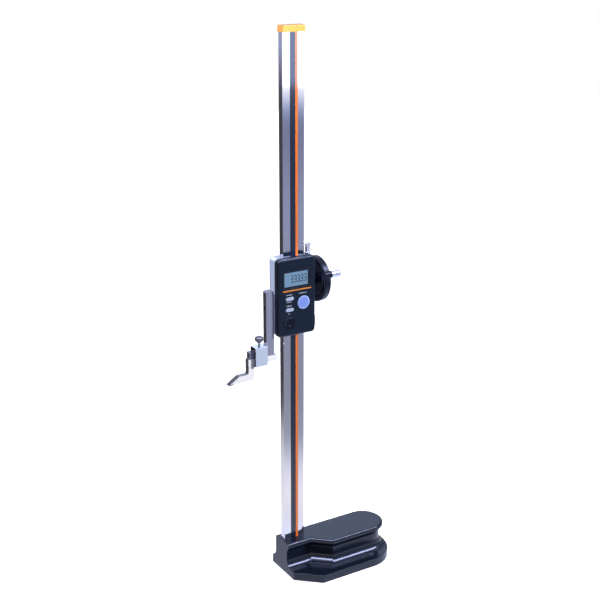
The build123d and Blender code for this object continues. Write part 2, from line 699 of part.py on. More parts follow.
with BuildPart() as lcd_connectors:
    for z in (lens_bottom + strip_edge, lens_top - strip_edge - strip_height):
        add(
            block(
                lens_left + strip_end, lens_right - strip_end, panel_back, board_front_y,
                z, z + strip_height,
            )
        )
lcd_connectors.part.label = "lcd_connectors"
export_step(lcd_connectors.part, "parts/lcd_connectors.step")

# Keys rest with their flange against the cover's inside
key_front = cover_front - key_proud
key_back = inner_front + key_flange


def oval_key(z):
    with BuildPart() as key:
        with BuildSketch(Plane.XZ.offset(-key_back)):
            with Locations((oval_x, z)):
                SlotOverall(oval_width + 2 * flange_reach, oval_height + 2 * flange_reach)
        extrude(amount=key_flange)
        with BuildSketch(Plane.XZ.offset(-inner_front)):
            with Locations((oval_x, z)):
                SlotOverall(oval_width, oval_height)
        extrude(amount=inner_front - key_front)
        chamfer(key.faces().sort_by(Axis.Y)[0].edges(), key_edge)
    return key.part


upper_key = oval_key(upper_key_z)
upper_key.label = "upper_key"
export_step(upper_key, "parts/upper_key.step")
lower_key = oval_key(lower_key_z)
lower_key.label = "lower_key"
export_step(lower_key, "parts/lower_key.step")

with BuildPart() as round_key:
    with BuildSketch(Plane.XZ.offset(-key_back)):
        with Locations((round_key_x, round_key_z)):
            Circle(round_key_d / 2 + flange_reach)
    extrude(amount=key_flange)
    with BuildSketch(Plane.XZ.offset(-inner_front)):
        with Locations((round_key_x, round_key_z)):
            Circle(round_key_d / 2)
    extrude(amount=inner_front - key_front)
    chamfer(round_key.faces().sort_by(Axis.Y)[0].edges(), round_key_edge, round_key_slope)
round_key.part.label = "round_key"
export_step(round_key.part, "parts/round_key.step")

dome_top = key_back + key_travel + slide_gap
with BuildPart() as key_mat:
    add(
        block(
            mat_left, mat_right, board_front_y - mat_thick, board_front_y, mat_bottom, mat_top
        )
    )
    with BuildSketch(Plane.XZ.offset(-board_front_y + mat_thick)):
        with Locations(
            (oval_x, upper_key_z), (oval_x, lower_key_z), (round_key_x, round_key_z)
        ):
            Circle(dome_r)
    extrude(amount=board_front_y - mat_thick - dome_top)
key_mat.part.label = "key_mat"
export_step(key_mat.part, "parts/key_mat.step")

# Battery behind its bayonet cap
with BuildPart() as battery_cap:
    with BuildSketch(Plane.XZ.offset(-cover_front + cap_proud)):
        with Locations((battery_x, battery_z)):
            Circle(battery_cap_d / 2)
    extrude(amount=-cap_seat - cap_proud)
    chamfer(battery_cap.faces().sort_by(Axis.Y)[0].edges(), cap_edge)
    with BuildSketch(Plane.XZ.offset(-cover_front)):
        with Locations((battery_x, battery_z)):
            Circle(cap_neck_r)
    extrude(amount=-cover_wall - cap_sink)
    with BuildSketch(Plane.XZ.offset(-inner_front - slide_gap)):
        with Locations((battery_x, battery_z)):
            with PolarLocations(cap_neck_r, lug_count, start_angle=lug_angle):
                Rectangle(2 * lug_reach, lug_width)
    extrude(amount=-lug_thick)
    with BuildSketch(Plane.XZ.offset(-inner_front + cap_sink)):
        with Locations((battery_x, battery_z)):
            Circle(battery_d / 2 + free_gap)
    extrude(amount=-cap_sink - overlap, mode=Mode.SUBTRACT)
    with BuildSketch(Plane.XZ.offset(-cover_front + cap_proud)):
        with Locations((battery_x, battery_z)):
            Rectangle(coin_slot_length, coin_slot_width)
    extrude(amount=-coin_slot_depth, mode=Mode.SUBTRACT)
battery_cap.part.label = "battery_cap"
export_step(battery_cap.part, "parts/battery_cap.step")

battery_front = inner_front - cap_sink + slide_gap
with BuildPart() as battery:
    with BuildSketch(Plane.XZ.offset(-battery_front)):
        with Locations((battery_x, battery_z)):
            Circle(battery_d / 2)
    extrude(amount=-battery_thick)
    chamfer(battery.faces().sort_by(Axis.Y)[-1].edges(), battery_edge)
battery.part.label = "battery"
export_step(battery.part, "parts/battery.step")

battery_back = battery_front + battery_thick
with BuildPart() as battery_contact:
    with BuildSketch(Plane.XZ.offset(-battery_back)):
        with Locations((battery_x, battery_z)):
            Circle(contact_tip_r)
    with BuildSketch(Plane.XZ.offset(-board_front_y)):
        with Locations((battery_x, battery_z)):
            Circle(contact_foot_r)
    loft()
battery_contact.part.label = "battery_contact"
export_step(battery_contact.part, "parts/battery_contact.step")

with BuildPart() as battery_holder:
    with BuildSketch(Plane.XZ.offset(-board_front_y)):
        with Locations((battery_x, battery_z)):
            Circle(battery_d / 2 + holder_wall)
            Circle(battery_d / 2 + free_gap, mode=Mode.SUBTRACT)
    extrude(amount=holder_height)
battery_holder.part.label = "battery_holder"
export_step(battery_holder.part, "parts/battery_holder.step")

# Data socket and the cover that plugs its opening
with BuildPart() as data_socket:
    socket_front = port_front + socket_front_gap
    add(block(socket_left, board_right, socket_front, board_front_y, port_bottom, port_top))
    add(
        block(
            socket_left + socket_floor, board_right,
            socket_front + socket_wall, port_back - socket_wall,
            port_bottom + socket_end, port_top - socket_end,
        ),
        mode=Mode.SUBTRACT,
    )
data_socket.part.label = "data_socket"
export_step(data_socket.part, "parts/data_socket.step")

with BuildPart() as port_cover:
    with BuildSketch(Plane.YZ.offset(cover_right)):
        with Locations(((port_front + port_back) / 2, (port_bottom + port_top) / 2)):
            RectangleRounded(
                port_back - port_front + 2 * port_lip_y,
                port_top - port_bottom + 2 * port_lip_z, port_corner,
            )
    extrude(amount=port_proud)
    chamfer(port_cover.faces().sort_by(Axis.X)[-1].edges(), port_edge)
    with BuildSketch(Plane.YZ.offset(cover_right)):
        with Locations(((port_front + port_back) / 2, (port_bottom + port_top) / 2)):
            Rectangle(
                port_back - port_front - 2 * run_gap, port_top - port_bottom - 2 * run_gap
            )
    extrude(amount=-cover_wall)
port_cover.part.label = "port_cover"
export_step(port_cover.part, "parts/port_cover.step")

# Gear housing with two bushes, on the back plate
foot_back = plate_back + housing_foot_thick
with BuildPart() as gear_housing:
    with BuildSketch(Plane.YZ.offset(housing_left)):
        with BuildLine():
            Polyline(
                (axis_y, drive_z + housing_radius),
                (plate_back, drive_z + housing_radius),
                (plate_back, drive_z - housing_radius),
                (axis_y, drive_z - housing_radius),
            )
            ThreePointArc(
                (axis_y, drive_z - housing_radius),
                (axis_y + housing_radius, drive_z),
                (axis_y, drive_z + housing_radius),
            )
        make_face()
    extrude(amount=housing_right - housing_left)
    add(
        block(
            housing_left, housing_foot_right, plate_back, foot_back,
            drive_z - housing_foot_half, drive_z + housing_foot_half,
        )
    )
    with BuildSketch(Plane.YZ.offset(-pinion_room)):
        with Locations((axis_y, drive_z)):
            Circle(tip_room)
        with Locations((axis_y - tip_room / 2, drive_z)):
            Rectangle(tip_room, 2 * tip_room)
    extrude(amount=2 * pinion_room, mode=Mode.SUBTRACT)
    with BuildSketch(Plane.YZ.offset(housing_left)):
        with Locations((axis_y, drive_z)):
            Circle(bush_d / 2)
    extrude(amount=housing_right - housing_left, mode=Mode.SUBTRACT)
    with BuildSketch(Plane.XZ.offset(-foot_back)):
        for z in (drive_z - house_screw_z, drive_z + house_screw_z):
            with Locations((house_screw_left, z), (house_screw_right, z)):
                Circle(house_screw_d / 2 + free_gap)
    extrude(amount=housing_foot_thick, mode=Mode.SUBTRACT)
gear_housing.part.label = "gear_housing"
export_step(gear_housing.part, "parts/gear_housing.step")

with BuildPart() as housing_screws:
    for z in (drive_z - house_screw_z, drive_z + house_screw_z):
        for x in (house_screw_left, house_screw_right):
            seat = Plane((x, foot_back, z), x_dir=(1, 0, 0), z_dir=(0, 1, 0))
            add(
                socket_screw(
                    seat, house_screw_head_d, house_screw_head_h, house_screw_d,
                    housing_foot_thick + plate_thick - free_gap, house_screw_socket,
                )
            )
housing_screws.part.label = "housing_screws"
export_step(housing_screws.part, "parts/housing_screws.step")

with BuildPart() as shaft_bushes:
    for left, right in ((housing_left, -pinion_room), (pinion_room, housing_right)):
        with BuildSketch(Plane.YZ.offset(left)):
            with Locations((axis_y, drive_z)):
                Circle(bush_d / 2)
                Circle(shaft_d / 2 + run_gap, mode=Mode.SUBTRACT)
        extrude(amount=right - left)
shaft_bushes.part.label = "shaft_bushes"
export_step(shaft_bushes.part, "parts/shaft_bushes.step")

# Pinion: involute flanks, one tooth pointing at the rack
base_radius = gear_module * pinion_teeth / 2 * math.cos(math.radians(pressure_angle))
pitch_radius = gear_module * pinion_teeth / 2
tip_radius = pitch_radius + gear_module
root_radius = pitch_radius - root_share * gear_module
half_angle = half_tooth / pitch_radius
pitch_roll = slope - math.radians(pressure_angle)


def flank_angle(radius):
    lean = math.acos(min(1, base_radius / radius))
    return half_angle + pitch_roll - (math.tan(lean) - lean)


pinion_points = []
for tooth in range(pinion_teeth):
    middle = math.pi + tooth * 2 * math.pi / pinion_teeth
    radii = (root_radius, base_radius, pitch_radius, tip_radius)
    for radius in radii:
        turn = middle - flank_angle(radius)
        pinion_points.append((radius * math.cos(turn), radius * math.sin(turn)))
    for radius in reversed(radii):
        turn = middle + flank_angle(radius)
        pinion_points.append((radius * math.cos(turn), radius * math.sin(turn)))
with BuildPart() as pinion:
    with BuildSketch(Plane((-pinion_half, axis_y, drive_z), x_dir=(0, 1, 0), z_dir=(1, 0, 0))):
        with BuildLine():
            Polyline(*pinion_points, close=True)
        make_face()
        Circle(shaft_d / 2, mode=Mode.SUBTRACT)
    extrude(amount=2 * pinion_half)
pinion.part.label = "pinion"
export_step(pinion.part, "parts/pinion.step")

with BuildPart() as wheel_shaft:
    with BuildSketch(Plane.YZ.offset(housing_left + shaft_inset)):
        with Locations((axis_y, drive_z)):
            Circle(shaft_d / 2)
    extrude(amount=wheel_right - wheel_screw_sink - housing_left - shaft_inset)
    with BuildSketch(Plane.YZ.offset(wheel_right - wheel_screw_sink)):
        with Locations((axis_y, drive_z)):
            Circle(wheel_screw_d / 2)
    extrude(amount=-shaft_hole, mode=Mode.SUBTRACT)
wheel_shaft.part.label = "wheel_shaft"
export_step(wheel_shaft.part, "parts/wheel_shaft.step")

# Handwheel: a dish open towards the column, with a crank boss in its rim
web_x = wheel_right - wheel_web
wheel_plane = Plane((0, axis_y, drive_z), x_dir=(1, 0, 0), z_dir=(0, -1, 0))
with BuildPart() as handwheel:
    with BuildSketch(wheel_plane):
        with BuildLine():
            Polyline(
                (wheel_left - hub_reach, shaft_d / 2), (wheel_left - hub_reach, hub_radius),
                (web_x, hub_radius), (web_x, rib_inside), (web_x - rib_depth, rib_inside),
                (web_x - rib_depth, rib_outside), (web_x, rib_outside),
                (web_x, wheel_radius - rim_thick), (wheel_left, wheel_radius - rim_thick),
                (wheel_left, wheel_radius - wheel_bevel),
                (wheel_left + wheel_bevel, wheel_radius),
                (wheel_right - wheel_bevel, wheel_radius - wheel_taper),
                (wheel_right, wheel_radius - wheel_taper - wheel_bevel),
                (wheel_right, shaft_d / 2), close=True,
            )
        make_face()
    revolve(axis=Axis((0, axis_y, drive_z), (1, 0, 0)))
    with BuildSketch(Plane.YZ.offset(wheel_left)):
        with Locations((crank_y, crank_z)):
            Circle(crank_boss_r)
    extrude(amount=crank_boss_end - wheel_left)
    with BuildSketch(Plane.YZ.offset(crank_boss_end)):
        with Locations((crank_y, crank_z)):
            Circle(crank_pin_r)
    extrude(amount=-crank_pin_sink, mode=Mode.SUBTRACT)
    with BuildSketch(Plane.YZ.offset(wheel_right)):
        with Locations((axis_y, drive_z)):
            Circle(wheel_screw_room_r)
    extrude(amount=-wheel_screw_sink, mode=Mode.SUBTRACT)
handwheel.part.label = "handwheel"
export_step(handwheel.part, "parts/handwheel.step")

seat = Plane((wheel_right - wheel_screw_sink, axis_y, drive_z), x_dir=(0, 1, 0), z_dir=(1, 0, 0))
wheel_screw = socket_screw(
    seat, wheel_screw_head_d, wheel_screw_head_h, wheel_screw_d,
    wheel_screw_length, wheel_screw_socket,
)
wheel_screw.label = "wheel_screw"
export_step(wheel_screw, "parts/wheel_screw.step")

with BuildPart() as crank_pin:
    with BuildSketch(Plane.YZ.offset(crank_boss_end - crank_pin_sink)):
        with Locations((crank_y, crank_z)):
            Circle(crank_pin_r)
    extrude(amount=crank_pin_length)
crank_pin.part.label = "crank_pin"
export_step(crank_pin.part, "parts/crank_pin.step")

knob_start = crank_boss_end + slide_gap
knob_bore = crank_pin_r + run_gap
bore_end = knob_start + knob_bore_depth
knob_plane = Plane((0, crank_y, crank_z), x_dir=(1, 0, 0), z_dir=(0, -1, 0))
with BuildPart() as crank_knob:
    with BuildSketch(knob_plane):
        with BuildLine():
            Polyline(
                (bore_end, 0), (bore_end, knob_bore), (knob_start, knob_bore),
                (knob_start, knob_flange_r), (knob_start + knob_flange, knob_flange_r),
                (knob_start + knob_neck, knob_neck_r), (knob_end - knob_body_gap, knob_body_r),
                (knob_end - knob_end_gap, knob_end_r), (knob_end - knob_tip_gap, knob_tip_r),
                (knob_end, 0), close=True,
            )
        make_face()
    revolve(axis=Axis((0, crank_y, crank_z), (1, 0, 0)))
crank_knob.part.label = "crank_knob"
export_step(crank_knob.part, "parts/crank_knob.step")

# Measuring arm
with BuildPart() as measuring_arm:
    with BuildSketch(Plane.XZ.offset(-arm_back)):
        with BuildLine():
            Polyline(
                (arm_pad_x, arm_bottom), (arm_pad_x, arm_top), (arm_left, arm_top),
                (arm_left, tongue_top), (tongue_left, tongue_top),
                (tongue_left, arm_bottom), close=True,
            )
        make_face()
    extrude(amount=arm_back - arm_front)
    tops = measuring_arm.edges().filter_by(Axis.Y).group_by(Axis.Z)[-1]
    fillet(tops, arm_round)
    inner = measuring_arm.edges().filter_by(Axis.Y).filter_by(
        lambda e: abs(e.center().X - arm_left) < near
    )
    fillet(inner.sort_by(Axis.Z)[0], arm_inner_round)
    with BuildSketch(Plane.YZ.offset(arm_left)):
        with Locations((arm_screw_y, arm_screw_z)):
            Circle(arm_screw_head_d / 2 + arm_screw_room)
    extrude(amount=arm_screw_sink, mode=Mode.SUBTRACT)
    with BuildSketch(Plane.YZ.offset(arm_left)):
        with Locations((arm_screw_y, arm_screw_z)):
            Circle(arm_screw_d / 2 + free_gap)
    extrude(amount=arm_pad_x - arm_left, mode=Mode.SUBTRACT)
measuring_arm.part.label = "measuring_arm"
export_step(measuring_arm.part, "parts/measuring_arm.step")

seat = Plane(
    (arm_left + arm_screw_sink, arm_screw_y, arm_screw_z), x_dir=(0, 1, 0), z_dir=(-1, 0, 0)
)
arm_screw = socket_screw(
    seat, arm_screw_head_d, arm_screw_head_h, arm_screw_d, arm_screw_length, arm_screw_socket
)
arm_screw.label = "arm_screw"
export_step(arm_screw, "parts/arm_screw.step")

# Scriber clamp: a ring round the arm's tongue and the scriber's shank
with BuildPart() as scriber_clamp:
    with BuildSketch(Plane.YZ.offset(clamp_left)):
        with Locations(((clamp_front + clamp_back) / 2, (clamp_bottom + clamp_top) / 2)):
            RectangleRounded(clamp_back - clamp_front, clamp_top - clamp_bottom, clamp_corner)
        with Locations(
            (
                (scriber_front + scriber_back) / 2,
                (scriber_under + tongue_top + clamp_slack) / 2,
            )
        ):
            Rectangle(
                scriber_back - scriber_front + 2 * slide_gap,
                tongue_top - scriber_under + 2 * run_gap + clamp_slack,
                mode=Mode.SUBTRACT,
            )
    extrude(amount=clamp_right - clamp_left)
    with BuildSketch(Plane.XY.offset(clamp_top)):
        with Locations((clamp_screw_x, clamp_screw_y)):
            Circle(clamp_screw_d / 2 + run_gap)
    extrude(amount=tongue_top - clamp_top, mode=Mode.SUBTRACT)
scriber_clamp.part.label = "scriber_clamp"
export_step(scriber_clamp.part, "parts/scriber_clamp.step")

rim_low = thumb_low + thumb_cone
with BuildPart() as clamp_screw:
    with BuildSketch(Plane.XY.offset(tongue_top + run_gap)):
        with Locations((clamp_screw_x, clamp_screw_y)):
            Circle(clamp_screw_d / 2)
    extrude(amount=clamp_top + thumb_low + overlap - tongue_top)
    with BuildSketch(Plane.XY.offset(clamp_top + thumb_low)):
        with Locations((clamp_screw_x, clamp_screw_y)):
            Circle(thumb_waist)
    with BuildSketch(Plane.XY.offset(clamp_top + rim_low)):
        with Locations((clamp_screw_x, clamp_screw_y)):
            Circle(thumb_rim)
    loft()
    with BuildSketch(Plane.XY.offset(clamp_top + rim_low)):
        with Locations((clamp_screw_x, clamp_screw_y)):
            Circle(thumb_rim)
    extrude(amount=thumb_height - rim_low)
    chamfer(clamp_screw.faces().sort_by(Axis.Z)[-1].edges(), thumb_edge)
    with BuildSketch(Plane.XY.offset(clamp_top + rim_low)):
        with Locations((clamp_screw_x, clamp_screw_y)):
            with PolarLocations(thumb_rim + flute_out, flutes):
                Rectangle(flute_size, flute_size, rotation=45)
    extrude(amount=thumb_height - rim_low, mode=Mode.SUBTRACT)
clamp_screw.part.label = "clamp_screw"
export_step(clamp_screw.part, "parts/clamp_screw.step")

# Scriber with a hard insert under its pointed end
slant = math.atan2(toe_top - scriber_bottom, toe_shoulder - toe_point)
insert_x = toe_point + tip_thick / math.tan(slant)
insert_top = scriber_bottom + tip_thick
toe_bottom = scriber_bottom + toe_relief
with BuildPart() as scriber:
    with BuildSketch(Plane.XZ.offset(-scriber_back)):
        with BuildLine():
            Polyline(
                (scriber_right, scriber_under), (scriber_right, scriber_over),
                (leg_left, scriber_over), (leg_left, toe_top), (toe_shoulder, toe_top),
                (insert_x, insert_top), (toe_point + tip_length, insert_top),
                (toe_point + tip_length, toe_bottom), (leg_right - toe_inset, toe_bottom),
                (leg_right, toe_bottom + toe_rise), (leg_right, scriber_under), close=True,
            )
        make_face()
    extrude(amount=scriber_back - scriber_front)
    upright = scriber.edges().filter_by(Axis.Y)
    fillet(
        upright.filter_by(lambda e: abs(e.center().X - scriber_right) < near), scriber_round
    )
    inner = scriber.edges().filter_by(Axis.Y).filter_by(
        lambda e: abs(e.center().X - leg_left) < near
    )
    fillet(inner.sort_by(Axis.Z)[0], scriber_round)
scriber.part.label = "scriber"
export_step(scriber.part, "parts/scriber.step")

with BuildPart() as scriber_tip:
    with BuildSketch(Plane.XZ.offset(-scriber_back)):
        with BuildLine():
            Polyline(
                (toe_point, scriber_bottom), (toe_point + tip_length, scriber_bottom),
                (toe_point + tip_length, insert_top), (insert_x, insert_top), close=True,
            )
        make_face()
    extrude(amount=scriber_back - scriber_front)
scriber_tip.part.label = "scriber_tip"
export_step(scriber_tip.part, "parts/scriber_tip.step")
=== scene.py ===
import bpy
import math
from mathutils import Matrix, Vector


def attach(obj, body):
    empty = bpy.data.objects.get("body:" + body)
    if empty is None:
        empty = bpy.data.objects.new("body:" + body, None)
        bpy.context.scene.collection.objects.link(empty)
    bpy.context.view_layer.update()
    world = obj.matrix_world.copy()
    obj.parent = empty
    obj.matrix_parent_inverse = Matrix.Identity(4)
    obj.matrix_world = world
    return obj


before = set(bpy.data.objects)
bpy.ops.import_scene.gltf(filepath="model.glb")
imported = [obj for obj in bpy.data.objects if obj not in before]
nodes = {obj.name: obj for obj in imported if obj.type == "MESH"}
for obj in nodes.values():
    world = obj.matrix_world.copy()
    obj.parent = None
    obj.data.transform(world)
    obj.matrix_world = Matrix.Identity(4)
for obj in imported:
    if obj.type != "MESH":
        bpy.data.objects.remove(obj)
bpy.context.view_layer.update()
print("stage: frame loaded")

mm = 0.001


# Small helpers that add nodes to a shader tree
def place(tree, kind, **values):
    node = tree.nodes.new(kind)
    for key, value in values.items():
        setattr(node, key, value)
    return node


def mathNode(tree, operation, a, b=None):
    node = place(tree, "ShaderNodeMath", operation=operation)
    for index, value in enumerate((a, b)):
        if isinstance(value, (int, float)):
            node.inputs[index].default_value = value
        elif value is not None:
            tree.links.new(value, node.inputs[index])
    return node.outputs[0]


def mixValues(tree, mask, first, second):
    node = place(tree, "ShaderNodeMapRange")
    for name, value in (("To Min", first), ("To Max", second)):
        if isinstance(value, float):
            node.inputs[name].default_value = value
        else:
            tree.links.new(value, node.inputs[name])
    tree.links.new(mask, node.inputs["Value"])
    return node.outputs[0]


# A mix node of colours takes them at inputs 6 and 7 and gives the mix at output 2
def mixColors(tree, mask, first, second):
    node = place(tree, "ShaderNodeMix", data_type="RGBA")
    tree.links.new(mask, node.inputs["Factor"])
    for index, value in ((6, first), (7, second)):
        if isinstance(value, tuple):
            node.inputs[index].default_value = (*value, 1)
        else:
            tree.links.new(value, node.inputs[index])
    return node.outputs[2]


def mixShaders(tree, mask, first, second):
    node = place(tree, "ShaderNodeMixShader")
    for index, socket in enumerate((mask, first, second)):
        tree.links.new(socket, node.inputs[index])
    return node.outputs[0]


def smoothRange(tree, value, low, high):
    node = place(tree, "ShaderNodeMapRange", interpolation_type="SMOOTHSTEP")
    node.inputs["From Min"].default_value = low
    node.inputs["From Max"].default_value = high
    tree.links.new(value, node.inputs["Value"])
    return node.outputs[0]


# Shader groups shared by several materials
def newGroup(name, outputs, inputs=()):
    tree = bpy.data.node_groups.new(name, "ShaderNodeTree")
    for label, kind, value in inputs:
        socket = tree.interface.new_socket(label, in_out="INPUT", socket_type=kind)
        socket.default_value = value
    for label, kind in outputs:
        tree.interface.new_socket(label, in_out="OUTPUT", socket_type=kind)
    start = tree.nodes.new("NodeGroupInput")
    end = tree.nodes.new("NodeGroupOutput")
    return tree, start, end


# A mask that is 1 where a value lies between two others
def makeBandGroup():
    inputs = (
        ("Low", "NodeSocketFloat", 0.0),
        ("High", "NodeSocketFloat", 1.0),
        ("Value", "NodeSocketFloat", 0.0),
    )
    tree, start, end = newGroup("bandMask", (("Mask", "NodeSocketFloat"),), inputs)
    above = mathNode(tree, "GREATER_THAN", start.outputs["Value"], start.outputs["Low"])
    below = mathNode(tree, "LESS_THAN", start.outputs["Value"], start.outputs["High"])
    tree.links.new(mathNode(tree, "MULTIPLY", above, below), end.inputs["Mask"])
    return tree


bandGroup = makeBandGroup()

# Fine grain on a surface whose edges are rounded in the shading
grainNoise = {"scale": 1.0, "detail": 4.0, "height": 0.0002, "edgeSamples": 6}


def makeGrainGroup():
    inputs = (
        ("Scale", "NodeSocketVector", (1.0, 1.0, 1.0)),
        ("Depth", "NodeSocketFloat", 0.1),
        ("Edge", "NodeSocketFloat", 0.0003),
    )
    outputs = (("Value", "NodeSocketFloat"), ("Normal", "NodeSocketVector"))
    tree, start, end = newGroup("surfaceGrain", outputs, inputs)
    coords = place(tree, "ShaderNodeTexCoord")
    stretch = place(tree, "ShaderNodeVectorMath", operation="MULTIPLY")
    tree.links.new(coords.outputs["Object"], stretch.inputs[0])
    tree.links.new(start.outputs["Scale"], stretch.inputs[1])
    noise = place(tree, "ShaderNodeTexNoise")
    noise.inputs["Scale"].default_value = grainNoise["scale"]
    noise.inputs["Detail"].default_value = grainNoise["detail"]
    tree.links.new(stretch.outputs[0], noise.inputs["Vector"])
    bevel = place(tree, "ShaderNodeBevel", samples=grainNoise["edgeSamples"])
    tree.links.new(start.outputs["Edge"], bevel.inputs["Radius"])
    bump = place(tree, "ShaderNodeBump")
    bump.inputs["Distance"].default_value = grainNoise["height"]
    tree.links.new(noise.outputs[0], bump.inputs["Height"])
    tree.links.new(start.outputs["Depth"], bump.inputs["Strength"])
    tree.links.new(bevel.outputs[0], bump.inputs["Normal"])
    tree.links.new(noise.outputs[0], end.inputs["Value"])
    tree.links.new(bump.outputs[0], end.inputs["Normal"])
    return tree


grainGroup = makeGrainGroup()

# Masks for faces turned to the front or back, faces turned up, and slanted edges
facingLimits = {"flat": 0.85, "top": 0.9, "slant": 0.3}


def makeFacingGroup():
    outputs = (("Flat", "NodeSocketFloat"), ("Top", "NodeSocketFloat"), ("Slant", "NodeSocketFloat"))
    tree, start, end = newGroup("facingMask", outputs)
    coords = place(tree, "ShaderNodeTexCoord")
    parts = place(tree, "ShaderNodeSeparateXYZ")
    tree.links.new(coords.outputs["Normal"], parts.inputs[0])
    sizes = [mathNode(tree, "ABSOLUTE", parts.outputs[index]) for index in range(3)]
    product = mathNode(tree, "MULTIPLY", sizes[0], sizes[2])
    measures = (
        ("Flat", sizes[1], facingLimits["flat"]),
        ("Top", parts.outputs[2], facingLimits["top"]),
        ("Slant", product, facingLimits["slant"]),
    )
    for label, measure, limit in measures:
        tree.links.new(mathNode(tree, "GREATER_THAN", measure, limit), end.inputs[label])
    return tree


facingGroup = makeFacingGroup()


def useGroup(tree, group, **values):
    node = place(tree, "ShaderNodeGroup", node_tree=group)
    for key, value in values.items():
        node.inputs[key].default_value = value
    return node


def newMaterial(name):
    material = bpy.data.materials.new(name)
    material.use_nodes = True
    tree = material.node_tree
    surface = tree.nodes["Principled BSDF"]
    return material, tree, surface


# A look takes from here what it doesn't name
plainLook = {
    "metal": 0.0, "specular": 0.5, "grain": (900, 900, 900), "depth": 0.02, "edge": 0.0003, "vary": 0.15,
}


# One material from a small dictionary of looks
def makeMaterial(name, givenLook):
    look = {**plainLook, **givenLook}
    material, tree, surface = newMaterial(name)
    surface.inputs["Base Color"].default_value = (*look["color"], 1)
    surface.inputs["Metallic"].default_value = look["metal"]
    surface.inputs["Roughness"].default_value = look["rough"]
    surface.inputs["Specular IOR Level"].default_value = look["specular"]
    grain = useGroup(tree, grainGroup, Scale=look["grain"], Depth=look["depth"], Edge=look["edge"])
    tree.links.new(grain.outputs["Normal"], surface.inputs["Normal"])
    smoothest = look["rough"] * (1 - look["vary"])
    roughest = look["rough"] * (1 + look["vary"])
    rough = mixValues(tree, grain.outputs["Value"], smoothest, roughest)
    tree.links.new(rough, surface.inputs["Roughness"])
    return material


looks = {
    "castPaint": {"color": (0.004, 0.009, 0.021), "rough": 0.20, "depth": 0.04, "edge": 0.0006},
    "columnSteel": {
        "color": (0.80, 0.80, 0.84), "metal": 1.0, "rough": 0.055, "grain": (2600, 2600, 8),
    },
    "screwSteel": {"color": (0.55, 0.55, 0.57), "metal": 1.0, "rough": 0.3},
    "darkScrew": {"color": (0.01, 0.01, 0.012), "metal": 0.6, "rough": 0.5},
    "boardGreen": {"color": (0.02, 0.12, 0.06), "rough": 0.45},
    "gearSteel": {"color": (0.45, 0.45, 0.48), "metal": 1.0, "rough": 0.3},
    "capPlastic": {"color": (1.0, 0.41, 0.065), "rough": 0.32, "edge": 0.0008},
    "sliderMetal": {"color": (0.74, 0.77, 0.90), "metal": 1.0, "rough": 0.50, "edge": 0.0004},
    "brass": {"color": (0.75, 0.55, 0.22), "metal": 1.0, "rough": 0.3},
    "blackPlastic": {"color": (0.012, 0.014, 0.018), "rough": 0.4},
    "coverPlastic": {
        "color": (0.0008, 0.0075, 0.021), "rough": 0.30, "specular": 0.32,
        "grain": (1500, 1500, 1500), "depth": 0.05, "edge": 0.0006,
    },
    "capBlack": {"color": (0.002, 0.005, 0.012), "rough": 0.35, "specular": 0.15, "edge": 0.0004},
    "lcdGlass": {"color": (0.17, 0.30, 0.455), "rough": 0.35},
    "keyPlastic": {"color": (0.42, 0.51, 0.71), "rough": 0.35, "edge": 0.0005},
    "keyRubber": {"color": (0.05, 0.05, 0.055), "rough": 0.7},
    "knobChrome": {"color": (0.60, 0.62, 0.74), "metal": 0.8, "rough": 0.22},
    "thumbSteel": {"color": (0.19, 0.17, 0.175), "metal": 1.0, "rough": 0.36, "depth": 0.4},
    "wheelBlack": {"color": (0.0005, 0.003, 0.014), "rough": 0.30, "specular": 0.26, "edge": 0.0006},
    "carbide": {"color": (0.10, 0.10, 0.12), "metal": 1.0, "rough": 0.25},
    "scaleBoard": {"color": (0.02, 0.08, 0.05), "rough": 0.5},
}
materials = {name: makeMaterial(name, look) for name, look in looks.items()}


# Steel whose flat faces are satin while its edges and tops are finished in another way, and whose sides,
# slanted faces and tops get their own base colours as painted light and shade, lighter or darker by the way
# they face
def makeSatin(name, look):
    material = makeMaterial(name, look)
    tree = material.node_tree
    surface = tree.nodes["Principled BSDF"]
    facing = useGroup(tree, facingGroup)
    # Painted light and shade: sides, slants and tops are coloured by the way they face, while flat front and
    # back faces keep the steel's own colour
    color = mixColors(tree, facing.outputs["Slant"], look["sideShadingColor"], look["slantShadingColor"])
    color = mixColors(tree, facing.outputs["Top"], color, look["topShadingColor"])
    color = mixColors(tree, facing.outputs["Flat"], color, look["color"])
    tree.links.new(color, surface.inputs["Base Color"])
    metal = mixValues(tree, facing.outputs["Flat"], 1.0, look["metal"])
    tree.links.new(metal, surface.inputs["Metallic"])
    grainRough = surface.inputs["Roughness"].links[0].from_socket
    rough = mixValues(tree, facing.outputs["Top"], grainRough, look["topRough"])
    tree.links.new(rough, surface.inputs["Roughness"])
    return material
